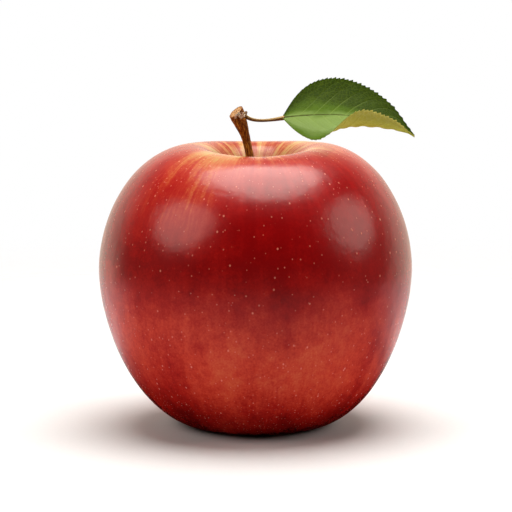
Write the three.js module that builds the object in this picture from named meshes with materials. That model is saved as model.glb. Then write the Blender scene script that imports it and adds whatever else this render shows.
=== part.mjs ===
// A red dessert apple standing on its base, with its woody stalk and one leaf still on it.
// Millimetres, +Z up. The origin lies on the surface that the apple stands on, under its middle.
// +X runs towards the leaf's tip, and the leaf's rolled edge faces -Y.

import * as THREE from 'three';

// ---- Driving dimensions: the fruit ----
const FRUIT_RADIUS = 41;
const CREST_HEIGHT = 73.25;
const WAIST_HEIGHT = 41.2;
const CREST_RADIUS = 16.9;
const REST_OUTER_RADIUS = 15.7;
const REST_INNER_RADIUS = 12.6;
const UPPER_FULLNESS = 1.93;
const LOWER_FULLNESS = 1.78;
const CAVITY_DEPTH = 12;
const CAVITY_SHARPNESS = 0.75;
const BASIN_DEPTH = 8.6;
const BASIN_SHARPNESS = 0.85;
const SOCKET_RADIUS = 1.6;
const SOCKET_FLOOR = 58.8;
const CALYX_MOUTH_RADIUS = 1.6;

// ---- Driving dimensions: how the grown fruit departs from a turned one ----
const CREST_WAVE = 0.56;
const CREST_LEAN = 0.26;
const CREST_LEAN_ANGLE = 0.42 * Math.PI;
const LOBE_COUNT = 5;
const LOBE_PHASE = 0.3 * Math.PI;
const BASE_LOBE_DEPTH = 0.006;
const CREST_LOBE_DEPTH = 0.016;
const AXIS_BOW = 0.4;

// ---- Driving dimensions: the stalk ----
const STALK_RADIUS = 1.05;
const STALK_HEAD_FLARE = 1.0;
const STALK_FOOT_FLARE = 0.2;
const STALK_ROUTE = [
  [0.2, 0, 59.15],
  [-0.3, 0, 64.9],
  [-1.6, 0, 70.4],
  [-3.1, 0, 77.4],
  [-4.1, 0, 80.7],
  [-5.1, 0, 82.5]
];
const CUT_FACE_NORMAL = [-0.6, -0.28, 0.75];

// ---- Driving dimensions: the leaf ----
const LEAF_HALF_WIDTH = 14.4;
const LEAF_THICKNESS = 0.4;
const LEAF_ROUTE = [
  [6.9, -1, 80.9],
  [14, -1.5, 81.6],
  [22, -2, 81.7],
  [31, -2.5, 81.3],
  [37.6, -2.8, 79],
  [41.3, -3, 76.4]
];
const FAR_HALF_RISE = THREE.MathUtils.degToRad(37);
const NEAR_HALF_DROOP = THREE.MathUtils.degToRad(26);
const EDGE_ROLL = THREE.MathUtils.degToRad(135);
const TOOTH_COUNT = 18;
const TOOTH_HEIGHT = 0.5;
const TOOTH_TIP_SHARE = 0.72;
const PETIOLE_ROUTE = [
  [-2.05, -0.6, 81.7],
  [-0.5, -0.7, 80.5],
  [1.7, -0.8, 80.35],
  [4.2, -0.9, 80.5],
  [6.5, -1, 80.8]
];
const PETIOLE_RADIUS = 0.36;

// ---- Driving dimensions: small pieces ----
const BUD_RADIUS = 0.4;
const BUD_PLACE = [-2.3, -0.4, 82.85];
const BUD_SCALE_ANGLES = [-125, -85, -48];
const SEPAL_COUNT = 5;
const SEPAL_THICKNESS = 0.4;
const SEPAL_ROUTE = [
  [2.3, 7.75],
  [2.9, 6.2],
  [3.9, 4.8],
  [5.4, 4.2]
];
const SEPAL_HALF_WIDTH = 1.25;
const TUFT_TOP = 8.1;
const TUFT_TIP = 4.9;
const TUFT_RADIUS = 1.15;

const toVector = (triple) => new THREE.Vector3(...triple);
const smoothRoute = (triples) => new THREE.CatmullRomCurve3(triples.map(toVector));
const ease = (value, low, high) => THREE.MathUtils.smoothstep(value, low, high);

// Skins a stack of rings that all have the same number of points, and closes both ends with a fan.
// Each ring runs anticlockwise as seen looking back along the stack, so the faces point outwards.
function skinRings(rings) {
  const count = rings[0].length;
  const positions = [];
  const faces = [];
  for (const ring of rings) {
    for (const point of ring) positions.push(point.x, point.y, point.z);
  }
  for (let row = 0; row < rings.length - 1; row += 1) {
    for (let column = 0; column < count; column += 1) {
      const next = (column + 1) % count;
      const a = row * count + column;
      const b = row * count + next;
      const c = b + count;
      const d = a + count;
      faces.push(a, b, c, a, c, d);
    }
  }
  const addCap = (row, startsStack) => {
    const middle = new THREE.Vector3();
    for (const point of rings[row]) middle.addScaledVector(point, 1 / count);
    const hub = positions.length / 3;
    positions.push(middle.x, middle.y, middle.z);
    for (let column = 0; column < count; column += 1) {
      const here = row * count + column;
      const next = row * count + (column + 1) % count;
      if (startsStack) faces.push(hub, next, here);
      else faces.push(hub, here, next);
    }
  };
  addCap(0, true);
  addCap(rings.length - 1, false);
  const geometry = new THREE.BufferGeometry();
  geometry.setAttribute('position', new THREE.Float32BufferAttribute(positions, 3));
  geometry.setIndex(faces);
  geometry.computeVertexNormals();
  return geometry;
}

// ---- The fruit ----
// Its outline runs from the calyx mouth, down the basin to the flat resting ring, up the outside to
// the crest and down the stalk cavity to the socket that the stalk's foot stands in.
function fruitOutline() {
  const outline = [];
  const add = (radius, height) => outline.push({ radius, height });
  const funnel = (share, sharpness) => (1 + Math.cos(Math.PI * share ** sharpness)) / 2;

  const basinSteps = 7;
  for (let step = 0; step < basinSteps; step += 1) {
    const share = step / basinSteps;
    const radius = CALYX_MOUTH_RADIUS + (REST_INNER_RADIUS - CALYX_MOUTH_RADIUS) * share;
    add(radius, BASIN_DEPTH * funnel(share, BASIN_SHARPNESS));
  }
  add(REST_INNER_RADIUS, 0);

  const lowerSteps = 11;
  for (let step = 0; step < lowerSteps; step += 1) {
    const angle = (Math.PI / 2) * (1 - step / lowerSteps);
    const reach = Math.cos(angle) ** (2 / LOWER_FULLNESS);
    const drop = Math.sin(angle) ** (2 / LOWER_FULLNESS);
    add(REST_OUTER_RADIUS + (FRUIT_RADIUS - REST_OUTER_RADIUS) * reach, WAIST_HEIGHT * (1 - drop));
  }

  const upperSteps = 11;
  for (let step = 0; step < upperSteps; step += 1) {
    const angle = (Math.PI / 2) * (step / upperSteps);
    const reach = Math.cos(angle) ** (2 / UPPER_FULLNESS);
    const rise = Math.sin(angle) ** (2 / UPPER_FULLNESS);
    const height = WAIST_HEIGHT + (CREST_HEIGHT - WAIST_HEIGHT) * rise;
    add(CREST_RADIUS + (FRUIT_RADIUS - CREST_RADIUS) * reach, height);
  }

  const cavitySteps = 9;
  for (let step = 0; step <= cavitySteps; step += 1) {
    const radius = CREST_RADIUS + (SOCKET_RADIUS - CREST_RADIUS) * (step / cavitySteps);
    add(radius, CREST_HEIGHT - CAVITY_DEPTH * funnel(radius / CREST_RADIUS, CAVITY_SHARPNESS));
  }
  add(SOCKET_RADIUS, SOCKET_FLOOR);
  return outline;
}

// Five soft ribs run down the crest and the base, the crest dips at the front and back and leans a
// little, and the fruit's middle bows away from the leaf. The socket stays round and in the middle.
function fruitPoint({ radius, height }, angle) {
  const nearAxis = ease(radius, SOCKET_RADIUS, REST_INNER_RADIUS);
  const atCrest = ease(height, 45, 70);
  const atBase = 1 - ease(height, 0, 30);
  const lobes = Math.cos(LOBE_COUNT * (angle - LOBE_PHASE));
  const lobeDepth = BASE_LOBE_DEPTH * atBase + CREST_LOBE_DEPTH * atCrest;
  const grownRadius = radius * (1 + nearAxis * lobeDepth * lobes);
  const fromMiddle = (height - CREST_HEIGHT / 2) / (CREST_HEIGHT / 2);
  const crestRise = CREST_WAVE * Math.cos(2 * angle) + CREST_LEAN * Math.cos(angle - CREST_LEAN_ANGLE);
  return new THREE.Vector3(
    grownRadius * Math.cos(angle) + nearAxis * AXIS_BOW * fromMiddle ** 2,
    grownRadius * Math.sin(angle),
    height + nearAxis * atCrest * crestRise
  );
}

function fruitGeometry() {
  const segments = 60;
  const rings = fruitOutline().map((level) => {
    const ring = [];
    for (let index = 0; index < segments; index += 1) {
      ring.push(fruitPoint(level, (2 * Math.PI * index) / segments));
    }
    return ring;
  });
  return skinRings(rings);
}

// ---- Stalks: tapered tubes on a smooth route ----
// radiusAt(share) gives the radius along the route, and endNormal turns the last rings into the
// plane of a slanting cut.
function stalkGeometry(route, steps, sides, radiusAt, endNormal) {
  const curve = smoothRoute(route);
  const frames = curve.computeFrenetFrames(steps, false);
  const rings = [];
  for (let step = 0; step <= steps; step += 1) {
    const share = step / steps;
    const middle = curve.getPointAt(share);
    const tangent = frames.tangents[step];
    const across = frames.normals[step];
    const over = frames.binormals[step];
    const slant = endNormal ? ease(share, 0.7, 1) : 0;
    const cut = endNormal ? tangent.clone().lerp(endNormal, slant).normalize() : tangent;
    const ring = [];
    for (let side = 0; side < sides; side += 1) {
      const angle = (2 * Math.PI * side) / sides;
      const offset = across.clone().multiplyScalar(Math.cos(angle) * radiusAt(share, angle));
      offset.addScaledVector(over, Math.sin(angle) * radiusAt(share, angle));
      offset.addScaledVector(tangent, -offset.dot(cut) / tangent.dot(cut));
      ring.push(middle.clone().add(offset));
    }
    rings.push(ring);
  }
  return skinRings(rings);
}

function stemGeometry() {
  const radiusAt = (share, angle) => {
    const head = STALK_HEAD_FLARE * ease(share, 0.62, 1.08) ** 1.3;
    const foot = STALK_FOOT_FLARE * (1 - ease(share, 0, 0.25));
    const ridges = 1 + 0.03 * Math.cos(3 * angle) + 0.02 * Math.cos(5 * angle);
    return (STALK_RADIUS + head + foot) * ridges;
  };
  return stalkGeometry(STALK_ROUTE, 18, 14, radiusAt, toVector(CUT_FACE_NORMAL).normalize());
}

function petioleGeometry() {
  const radiusAt = (share) => PETIOLE_RADIUS * (1.15 - 0.4 * Math.sin(Math.PI * share));
  return stalkGeometry(PETIOLE_ROUTE, 14, 8, radiusAt, null);
}

// ---- The leaf blade ----
// Half the blade's width at a share of its length, with forward-pointing teeth on the edge.
function leafHalfWidth(share, toothShare) {
  const oval = Math.sin(Math.PI * Math.min(share, 0.999) ** 0.75) ** 0.8;
  const tip = 1 - 0.5 * ease(share, 0.82, 1);
  const teeth = TOOTH_HEIGHT * toothShare * Math.sin(Math.PI * share) ** 0.5;
  return Math.max(0.35, LEAF_HALF_WIDTH * oval * tip + teeth);
}

// One half of the blade's section: points from the midrib to the edge, each with its upward normal.
// The far half rises straight, and the near half droops and then rolls up towards its edge.
function halfSection(middle, far, up, width, share, isFar, steps) {
  const outwards = far.clone().multiplyScalar(isFar ? 1 : -1);
  const roll = EDGE_ROLL * ease(share, 0.19, 0.65) * (1 - 0.5 * ease(share, 0.85, 1));
  const slopeAt = (reach) => (isFar ? FAR_HALF_RISE - 0.1 * reach : roll * reach ** 2 - NEAR_HALF_DROOP);
  const points = [];
  const place = middle.clone();
  for (let step = 0; step <= steps; step += 1) {
    const reach = step / steps;
    if (step > 0) {
      const slope = slopeAt((step - 0.5) / steps);
      place.addScaledVector(outwards, (Math.cos(slope) * width) / steps);
      place.addScaledVector(up, (Math.sin(slope) * width) / steps);
    }
    const slope = slopeAt(reach);
    const normal = up.clone().multiplyScalar(Math.cos(slope));
    normal.addScaledVector(outwards, -Math.sin(slope));
    points.push({ place: place.clone(), normal, reach });
  }
  return points;
}

function leafBladeGeometry() {
  const midrib = smoothRoute(LEAF_ROUTE);
  const stations = [];
  for (let tooth = 0; tooth < TOOTH_COUNT; tooth += 1) {
    stations.push({ share: tooth / TOOTH_COUNT, toothShare: 0 });
    stations.push({ share: (tooth + TOOTH_TIP_SHARE) / TOOTH_COUNT, toothShare: 1 });
  }
  stations.push({ share: 1, toothShare: 0 });

  const stepsAcross = 6;
  const far = new THREE.Vector3(0, 1, 0);
  const up = new THREE.Vector3(0, 0, 1);
  const rings = stations.map(({ share, toothShare }) => {
    const middle = midrib.getPointAt(share);
    const width = leafHalfWidth(share, toothShare);
    const farHalf = halfSection(middle, far, up, width, share, true, stepsAcross);
    const nearHalf = halfSection(middle, far, up, width, share, false, stepsAcross);
    const section = [...farHalf.reverse(), ...nearHalf.slice(1)];
    const skinPoint = ({ place, normal, reach }, direction) => {
      const halfThickness = (LEAF_THICKNESS / 2) * (1 - 0.3 * reach);
      return place.clone().addScaledVector(normal, direction * halfThickness);
    };
    const upper = section.map((point) => skinPoint(point, 1));
    const lower = section.map((point) => skinPoint(point, -1)).reverse();
    return [...upper, ...lower];
  });
  return skinRings(rings);
}

// ---- Small scales: curved slips with a lens section ----
// The route runs along the scale, faceOut gives the direction that its broad face looks.
function scaleGeometry(route, faceOut, halfWidthAt, thickness, steps) {
  const curve = smoothRoute(route);
  const sides = 8;
  const rings = [];
  for (let step = 0; step <= steps; step += 1) {
    const share = step / steps;
    const middle = curve.getPointAt(share);
    const along = curve.getTangentAt(share);
    const across = new THREE.Vector3().crossVectors(along, faceOut).normalize();
    const outwards = new THREE.Vector3().crossVectors(across, along).normalize();
    const ring = [];
    for (let side = 0; side < sides; side += 1) {
      const angle = (2 * Math.PI * side) / sides;
      const point = middle.clone();
      point.addScaledVector(outwards, Math.cos(angle) * (thickness / 2));
      point.addScaledVector(across, Math.sin(angle) * halfWidthAt(share));
      ring.push(point);
    }
    rings.push(ring);
  }
  return skinRings(rings);
}

// Dry papery scales stand round the front of the stalk's head, under the cut face.
function budScaleGeometry(degrees) {
  const angle = THREE.MathUtils.degToRad(degrees);
  const faceOut = new THREE.Vector3(Math.cos(angle), Math.sin(angle), 0);
  const heights = [80.8, 81.5, 82.3];
  const stalkMiddles = [-4.15, -4.5, -4.9];
  const clearances = [2.25, 2.5, 2.75];
  const route = heights.map((height, index) => [
    stalkMiddles[index] + clearances[index] * faceOut.x,
    clearances[index] * faceOut.y,
    height
  ]);
  const halfWidthAt = (share) => 0.55 * Math.sin(Math.PI * (0.15 + 0.75 * share)) ** 0.7;
  return scaleGeometry(route, faceOut, halfWidthAt, 0.3, 5);
}

function budGeometry() {
  const geometry = new THREE.SphereGeometry(BUD_RADIUS, 12, 8);
  geometry.scale(1, 1, 1.25);
  return geometry;
}

// Dried sepals hang from the calyx mouth into the basin and turn their tips outwards.
function sepalGeometry(angle) {
  const faceOut = new THREE.Vector3(Math.cos(angle), Math.sin(angle), 0);
  const route = SEPAL_ROUTE.map(([radius, height]) => [
    radius * faceOut.x,
    radius * faceOut.y,
    height
  ]);
  const halfWidthAt = (share) => Math.max(0.16, SEPAL_HALF_WIDTH * (1 - share ** 1.6));
  return scaleGeometry(route, faceOut, halfWidthAt, SEPAL_THICKNESS, 7);
}

// The withered stamens and styles stay as one matted tuft between the sepals.
function stamenTuftGeometry() {
  const points = 18;
  const steps = 5;
  const rings = [];
  for (let step = 0; step <= steps; step += 1) {
    const share = step / steps;
    const ring = [];
    for (let index = 0; index < points; index += 1) {
      const angle = (-2 * Math.PI * index) / points;
      const strand = index % 2 === 0 ? 1 : 0.72;
      const radius = TUFT_RADIUS * strand * (1 - 0.45 * share);
      const height = THREE.MathUtils.lerp(TUFT_TOP, TUFT_TIP, share);
      ring.push(new THREE.Vector3(radius * Math.cos(angle), radius * Math.sin(angle), height));
    }
    rings.push(ring);
  }
  return skinRings(rings);
}

// ---- Materials ----
const finish = (color, roughness) => new THREE.MeshStandardMaterial({ color, roughness, metalness: 0 });

const apple = new THREE.Group();
function addPiece(name, geometry, material) {
  const piece = new THREE.Mesh(geometry, material);
  piece.name = name;
  apple.add(piece);
  return piece;
}

addPiece('fruit', fruitGeometry(), finish(0x9a1618, 0.3));
addPiece('stem', stemGeometry(), finish(0x6e3f12, 0.75));
addPiece('bud', budGeometry(), finish(0x7a5a34, 0.8)).position.set(...BUD_PLACE);
BUD_SCALE_ANGLES.forEach((degrees, index) => {
  addPiece(`bud_scale_${index + 1}`, budScaleGeometry(degrees), finish(0xc9b59a, 0.85));
});
addPiece('leaf_petiole', petioleGeometry(), finish(0x9c8458, 0.6));
addPiece('leaf_blade', leafBladeGeometry(), finish(0x4c7a1e, 0.45));
for (let index = 0; index < SEPAL_COUNT; index += 1) {
  const angle = (2 * Math.PI * index) / SEPAL_COUNT + LOBE_PHASE;
  addPiece(`sepal_${index + 1}`, sepalGeometry(angle), finish(0x5b4023, 0.85));
}
addPiece('stamen_tuft', stamenTuftGeometry(), finish(0x3d2a18, 0.9));

export default apple;
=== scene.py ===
# %% [markdown]
# # A red apple with its stalk and one leaf
#
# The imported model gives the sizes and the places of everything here. This lesson loads it, stands it
# on a pale studio floor, and then grows a finer skin, stalk, leaf and calyx round the same measures.
# Everything is in metres, with +Z up, and the apple stands on the floor at the origin.

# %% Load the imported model
import math
import bpy
import numpy as np
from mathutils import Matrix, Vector


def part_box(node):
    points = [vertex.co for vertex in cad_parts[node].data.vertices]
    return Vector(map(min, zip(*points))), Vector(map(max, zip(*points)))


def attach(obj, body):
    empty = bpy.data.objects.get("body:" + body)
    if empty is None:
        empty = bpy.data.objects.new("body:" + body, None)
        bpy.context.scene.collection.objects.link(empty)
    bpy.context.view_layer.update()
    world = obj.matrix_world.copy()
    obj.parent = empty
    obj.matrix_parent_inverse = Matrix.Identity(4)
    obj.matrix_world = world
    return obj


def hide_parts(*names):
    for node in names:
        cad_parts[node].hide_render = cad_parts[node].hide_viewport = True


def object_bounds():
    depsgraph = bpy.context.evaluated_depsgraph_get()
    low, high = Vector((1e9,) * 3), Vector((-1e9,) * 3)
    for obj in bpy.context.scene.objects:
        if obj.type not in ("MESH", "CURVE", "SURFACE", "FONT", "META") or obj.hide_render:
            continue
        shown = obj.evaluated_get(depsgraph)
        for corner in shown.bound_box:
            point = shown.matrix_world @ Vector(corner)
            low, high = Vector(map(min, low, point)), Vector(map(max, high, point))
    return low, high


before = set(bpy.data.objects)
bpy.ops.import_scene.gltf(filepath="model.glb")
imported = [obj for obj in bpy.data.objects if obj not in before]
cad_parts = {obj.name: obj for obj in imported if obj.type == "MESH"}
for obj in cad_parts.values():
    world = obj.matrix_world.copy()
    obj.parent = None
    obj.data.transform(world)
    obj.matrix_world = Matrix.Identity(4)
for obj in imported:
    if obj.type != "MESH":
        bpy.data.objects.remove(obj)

cad_lowest, cad_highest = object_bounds()
whole_size = cad_highest - cad_lowest
print("whole model, mm:", [round(side * 1000, 1) for side in whole_size])

# %% [markdown]
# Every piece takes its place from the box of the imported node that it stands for. A point inside a
# box is given as shares of its three sides, so that nothing has to be fitted by hand afterwards.


# %% Points and colours
def inside(node, across, deep, high):
    """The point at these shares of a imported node's box, from its lowest corner."""
    low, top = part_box(node)
    return Vector((
        low.x + (top.x - low.x) * across,
        low.y + (top.y - low.y) * deep,
        low.z + (top.z - low.z) * high,
    ))


def srgb(red, green, blue):
    """A paint-chart colour, 0 to 255 a channel, as the linear colour that Blender mixes."""
    def linear(channel):
        share = channel / 255
        return share / 12.92 if share <= 0.04045 else ((share + 0.055) / 1.055) ** 2.4
    return (linear(red), linear(green), linear(blue), 1.0)


def add_object(name, data):
    """A new object in the scene."""
    made = bpy.data.objects.new(name, data)
    bpy.context.scene.collection.objects.link(made)
    return made


fruit_low, fruit_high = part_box("fruit")
fruit_width = fruit_high.x - fruit_low.x
fruit_height = fruit_high.z
print("fruit, mm:", round(fruit_width * 1000, 1), "wide", round(fruit_height * 1000, 1), "high")

# %% [markdown]
# A long lens well back from the apple keeps its sides from bulging, as in a catalogue picture. The
# camera looks a little downwards, so that the hollow round the stalk just shows behind its rim.

# %% Camera
LENS = 187.4
CAMERA_DISTANCE = 8.528 * fruit_width
CAMERA_ELEVATION = math.radians(8.383)
AIM_HEIGHT = 0.493 * whole_size.z
AIM_SIDEWAYS = 0.002 * fruit_width
NEAREST_SEEN = 0.01
FURTHEST_SEEN = 20

camera_data = bpy.data.cameras.new("studio_camera")
camera_data.lens = LENS
camera = add_object("studio_camera", camera_data)
camera_aim = Vector((AIM_SIDEWAYS, 0, AIM_HEIGHT))
camera_back = Vector((0, -math.cos(CAMERA_ELEVATION), math.sin(CAMERA_ELEVATION)))
camera.location = camera_aim + camera_back * CAMERA_DISTANCE
camera.rotation_euler = (-camera_back).to_track_quat("-Z", "Y").to_euler()
camera_data.clip_start = NEAREST_SEEN
camera_data.clip_end = FURTHEST_SEEN
bpy.context.scene.camera = camera
bpy.context.scene.view_settings.view_transform = "Standard"
print("camera at, mm:", [round(value * 1000, 1) for value in camera.location])

# %% [markdown]
# Shader and geometry trees get long when every sum is a node that is wired by hand. A small class
# wraps a socket, so that `1 - mask * 0.5` adds the Math nodes by itself. Colours can't go through
# Math nodes, which would turn them grey, so they are blended with Mix nodes.


# %% Wires
class Wire:
    """A socket of a node tree that adds, multiplies and compares like a number."""

    def __init__(self, tree, socket):
        self.tree = tree
        self.socket = socket

    def math(self, operation, *others):
        values = dict(enumerate((self, *others)))
        return self.tree.node("ShaderNodeMath", {"operation": operation}, values)

    def __add__(self, other):
        return self.math("ADD", other)

    __radd__ = __add__

    def __mul__(self, other):
        return self.math("MULTIPLY", other)

    __rmul__ = __mul__

    def __sub__(self, other):
        return self.math("SUBTRACT", other)

    def __rsub__(self, other):
        return self.tree.node("ShaderNodeMath", {"operation": "SUBTRACT"}, {0: other, 1: self})

    def __truediv__(self, other):
        return self.math("DIVIDE", other)

    def __pow__(self, other):
        return self.math("MAXIMUM", 0.0).math("POWER", other)

    def between(self, low, high, path="LINEAR"):
        """0 at low, 1 at high, straight in between and held at both ends."""
        limits = {"Value": self, "From Min": low, "From Max": high}
        return self.tree.node("ShaderNodeMapRange", {"interpolation_type": path}, limits)

    def ease(self, low, high):
        """0 at low, 1 at high, with soft ends. With low above high it falls as the value grows."""
        return self.between(low, high, "SMOOTHSTEP")

    def output(self, name):
        """Another output of the same node."""
        return Wire(self.tree, self.socket.node.outputs[name])


print("wires are ready")


# %% Trees
class Tree:
    """A node tree, filled in from Python."""

    def __init__(self, nodes_and_links):
        self.tree = nodes_and_links

    def node(self, kind, settings=None, values=None):
        """Adds a node: first its settings, then the values or wires of its sockets."""
        made = self.tree.nodes.new(kind)
        for name, setting in (settings or {}).items():
            if name == "stops":
                set_stops(made.color_ramp, setting)
            else:
                setattr(made, name, setting)
        for key, value in (values or {}).items():
            if isinstance(key, int):
                socket = made.inputs[key]
            else:
                socket = next(s for s in made.inputs if s.enabled and s.name == key)
            if isinstance(value, Wire):
                self.tree.links.new(value.socket, socket)
            else:
                socket.default_value = value
        return Wire(self, next((s for s in made.outputs if s.enabled), None))

    def vector(self, operation, first, second=None):
        """A Vector Math node."""
        values = {0: first} if second is None else {0: first, 1: second}
        return self.node("ShaderNodeVectorMath", {"operation": operation}, values)

    def scaled(self, vector, factor):
        """A vector times a number."""
        return self.node("ShaderNodeVectorMath", {"operation": "SCALE"}, {0: vector, "Scale": factor})

    def dot(self, first, second):
        """How far two vectors point the same way."""
        return self.vector("DOT_PRODUCT", first, second).output("Value")

    def join(self, x, y, z):
        """Three numbers made into a vector."""
        return self.node("ShaderNodeCombineXYZ", None, {"X": x, "Y": y, "Z": z})

    def parts(self, vector):
        """A vector's three numbers."""
        split = self.node("ShaderNodeSeparateXYZ", None, {0: vector})
        return split.output("X"), split.output("Y"), split.output("Z")

    def blend(self, mask, under, over):
        """The colour `over` laid on the colour `under` where the mask is 1."""
        values = {"Factor": mask, "A": under, "B": over}
        return self.node("ShaderNodeMix", {"data_type": "RGBA"}, values)

    def noise(self, vector, scale, detail=3.0, roughness=0.55):
        """Cloudy noise from 0 to 1, with its middle near a half."""
        values = {"Vector": vector, "Scale": scale, "Detail": detail, "Roughness": roughness}
        return self.node("ShaderNodeTexNoise", None, values)

    def ramp(self, value, stops):
        """Colours along a value from 0 to 1."""
        return self.node("ShaderNodeValToRGB", {"stops": stops}, {"Fac": value})

    def levels(self, value, stops):
        """Plain numbers along a value from 0 to 1."""
        return self.ramp(value, [(place, (level, level, level, 1.0)) for place, level in stops])


def set_stops(ramp, stops):
    """Gives a colour ramp these stops in place of its own two."""
    while len(ramp.elements) > 1:
        ramp.elements.remove(ramp.elements[-1])
    ramp.elements[0].position, ramp.elements[0].color = stops[0]
    for place, colour in stops[1:]:
        ramp.elements.new(place).color = colour


print("trees are ready")

# %% [markdown]
# A Geometry Nodes tree has named inputs for its sizes. It runs once on an empty mesh, and its
# result is kept as a plain mesh, so that nothing is left to work out afterwards.


# %% Growing a piece from a tree
def geometry_tree(name, sizes):
    """A new geometry tree with a named input for each size, and the wires that carry them."""
    group = bpy.data.node_groups.new(name, "GeometryNodeTree")
    group.interface.new_socket("Geometry", in_out="OUTPUT", socket_type="NodeSocketGeometry")
    kinds = {int: "NodeSocketInt", float: "NodeSocketFloat", Vector: "NodeSocketVector"}
    for label, size in sizes.items():
        group.interface.new_socket(label, in_out="INPUT", socket_type=kinds[type(size)])
    tree = Tree(group)
    entry = group.nodes.new("NodeGroupInput")
    return tree, {label: Wire(tree, entry.outputs[label]) for label in sizes}


def close_tree(tree, geometry, material):
    """Ends a tree: instances are made real and the piece gets its material."""
    real = tree.node("GeometryNodeRealizeInstances", None, {"Geometry": geometry})
    smooth = tree.node("GeometryNodeSetShadeSmooth", None, {"Geometry": real})
    painted = tree.node("GeometryNodeSetMaterial", None, {"Geometry": smooth, "Material": material})
    tree.node("NodeGroupOutput", None, {"Geometry": painted})


def grow(name, tree, sizes):
    """Runs a geometry tree with these sizes and keeps the result as a plain mesh object."""
    piece = add_object(name, bpy.data.meshes.new(name + "_start"))
    modifier = piece.modifiers.new("growth", "NODES")
    modifier.node_group = tree.tree
    for item in tree.tree.interface.items_tree:
        if item.item_type == "SOCKET" and item.in_out == "INPUT":
            modifier[item.identifier] = sizes[item.name]
    depsgraph = bpy.context.evaluated_depsgraph_get()
    evaluated = piece.evaluated_get(depsgraph)
    mesh = bpy.data.meshes.new_from_object(
        evaluated, preserve_all_data_layers=True, depsgraph=depsgraph
    )
    piece.modifiers.remove(modifier)
    piece.data = mesh
    mesh.name = name
    triangles = sum(len(face.vertices) - 2 for face in mesh.polygons)
    print(name, "has", triangles, "triangles")
    return piece


def stand_for(piece, slot, *nodes):
    """The piece rides on the apple's one body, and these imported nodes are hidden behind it."""
    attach(piece, "root")
    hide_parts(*nodes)


print("trees can be grown into pieces")


# %% Sheets, copies and seams
WELD_GAP = 0.000002


def named(tree, geometry, label, kind, value, domain="POINT"):
    """Keeps a value on the mesh under a name, for the materials to read."""
    return tree.node(
        "GeometryNodeStoreNamedAttribute",
        {"data_type": kind, "domain": domain},
        {"Geometry": geometry, "Name": label, "Value": value},
    )


def unit_grid(tree, around, along):
    """A one by one sheet: its first share runs round a piece, and its second along it."""
    counts = {"Vertices X": around, "Vertices Y": along}
    sheet = tree.node("GeometryNodeMeshGrid", None, {"Size X": 1.0, "Size Y": 1.0, **counts})
    x, y, _ = tree.parts(tree.node("GeometryNodeInputPosition"))
    return sheet, x + 0.5, y + 0.5


def moved(tree, sheet, place):
    """A sheet with its points put at a place."""
    return tree.node("GeometryNodeSetPosition", None, {"Geometry": sheet, "Position": place})


def chance(tree, low, high, seed):
    """A random number for each copy, the same in every run."""
    copy = tree.node("GeometryNodeInputIndex")
    values = {"Min": low, "Max": high, "ID": copy, "Seed": seed}
    return tree.node("FunctionNodeRandomValue", {"data_type": "FLOAT"}, values)


def copies(tree, piece, count, place, rotation, scale=(1.0, 1.0, 1.0)):
    """Copies of a piece, each with its own place, turn and scale."""
    spots = tree.node("GeometryNodePoints", None, {"Count": count, "Position": place})
    values = {"Points": spots, "Instance": piece, "Rotation": rotation, "Scale": scale}
    return tree.node("GeometryNodeInstanceOnPoints", None, values)


def weld(tree, sheet):
    """Closes the seam where the sheet's two sides meet, and the poles."""
    return tree.node("GeometryNodeMergeByDistance", None, {"Geometry": sheet, "Distance": WELD_GAP})


print("seams closer than", WELD_GAP * 1000, "mm are welded")

# %% [markdown]
# ## The skin's finish
#
# Red apple skin is a yellow-green ground under a red blush. The blush is thick on the sides, thins
# to streaks on the shoulders, and breaks up into red rays in the hollow round the stalk. So one
# number, how much blush there is, runs through a ramp from ground to deep red. Three ramps take
# turns on the way up: one for the lower half, painted lighter and warmer as painted bounce light
# from the floor, one for the upper half, and one for the hollow, where the skin is dull too and
# painted shade darkens it. Near the base the blush is deepened as painted shade. The streaks follow
# the meridians that the fruit grew along: noise is read on a unit circle round the axis, with the
# way from calyx to stalk as the third direction, and so it fans out where the fruit does.

# %% Skin colours
BLUSH_COLOURS = [
    (0.00, srgb(156, 134, 44)),
    (0.16, srgb(176, 126, 70)),
    (0.34, srgb(176, 82, 44)),
    (0.50, srgb(164, 42, 26)),
    (0.68, srgb(152, 17, 13)),
    (0.84, srgb(140, 5, 6)),
    (1.00, srgb(126, 1, 3)),
]
# The lower half is painted lighter and warmer than the upper half, as painted bounce light from the floor
# below.
PAINTED_BOUNCE_BLUSH_COLOURS = [
    (0.00, srgb(206, 180, 90)),
    (0.30, srgb(220, 136, 84)),
    (0.50, srgb(216, 94, 58)),
    (0.68, srgb(202, 58, 38)),
    (0.84, srgb(170, 24, 16)),
    (1.00, srgb(118, 4, 4)),
]
# The hollow round the stalk and its rim had the least light: peach and green ground, brick-red rays.
HOLLOW_BLUSH_COLOURS = [
    (0.00, srgb(150, 140, 52)),
    (0.20, srgb(176, 150, 92)),
    (0.38, srgb(182, 122, 78)),
    (0.58, srgb(158, 64, 40)),
    (0.80, srgb(140, 26, 18)),
    (1.00, srgb(122, 8, 8)),
]
# Painted shade laid over the hollow round the stalk.
HOLLOW_PAINTED_SHADE_COLOUR = srgb(66, 40, 14)
PORE_COLOUR = srgb(232, 142, 114)
SKIN_RELIEF = 0.00009
PORE_RELIEF = 0.00003
# How thick the blush lies along the way from the calyx, 0, to the stalk, 1. Near the base, from 0.14
# to 0.30, it is raised to a deeper red as painted shade where the fruit meets the floor.
BLUSH_AND_BASE_SHADE_ALONG = [
    (0.00, 0.20), (0.14, 0.86), (0.20, 0.96), (0.30, 0.90), (0.38, 0.73), (0.48, 0.70),
    (0.59, 0.96), (0.66, 0.94), (0.74, 0.84), (0.82, 0.62), (0.88, 0.46), (0.94, 0.34), (1.00, 0.04),
]
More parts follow.
